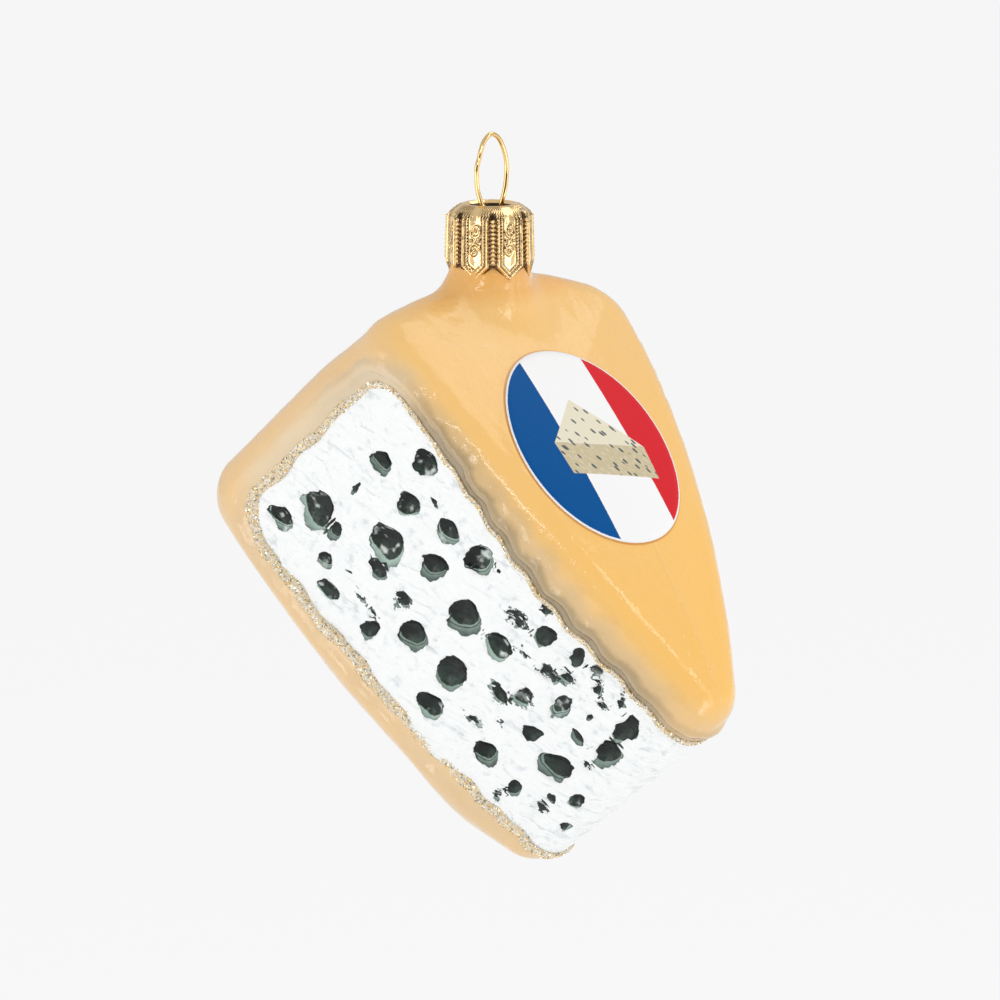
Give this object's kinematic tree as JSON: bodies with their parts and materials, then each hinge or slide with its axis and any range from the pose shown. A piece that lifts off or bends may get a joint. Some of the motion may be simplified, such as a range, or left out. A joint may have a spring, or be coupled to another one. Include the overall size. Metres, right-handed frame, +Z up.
{
  "type": "blown glass cheese wedge ornament",
  "caption": "Hanging glass tree ornament shaped like a wedge of blue cheese, with a pressed crown cap, a wire loop, a round striped sticker and a sparkle border.",
  "frame": {"origin": "inside top of the hanging loop, where a hook or thread bears", "axes": "+Z up along the neck, X across the wedge with the mould's symmetry plane at X = 0, the sticker face looks towards -Y and up, the wedge's nose points down"},
  "size_m": [0.0516, 0.076, 0.1016],
  "materials": {
    "lacquered_glass": "gloss lacquer on blown glass, honey beige with a white painted panel",
    "pressed_cap": "bright pressed gold-coloured sheet",
    "gold_wire": "bright gold-coloured spring wire",
    "sticker_paper": "semi-gloss printed paper in three plain bands",
    "sparkle": "fine pale gold glitter grains"
  },
  "bodies": {
    "root": {"glass_body": "lacquered_glass", "crown_cap": "pressed_cap", "hanger_wire": "gold_wire", "round_sticker": "sticker_paper", "sparkle_border": "sparkle"}
  },
  "joints": []
}
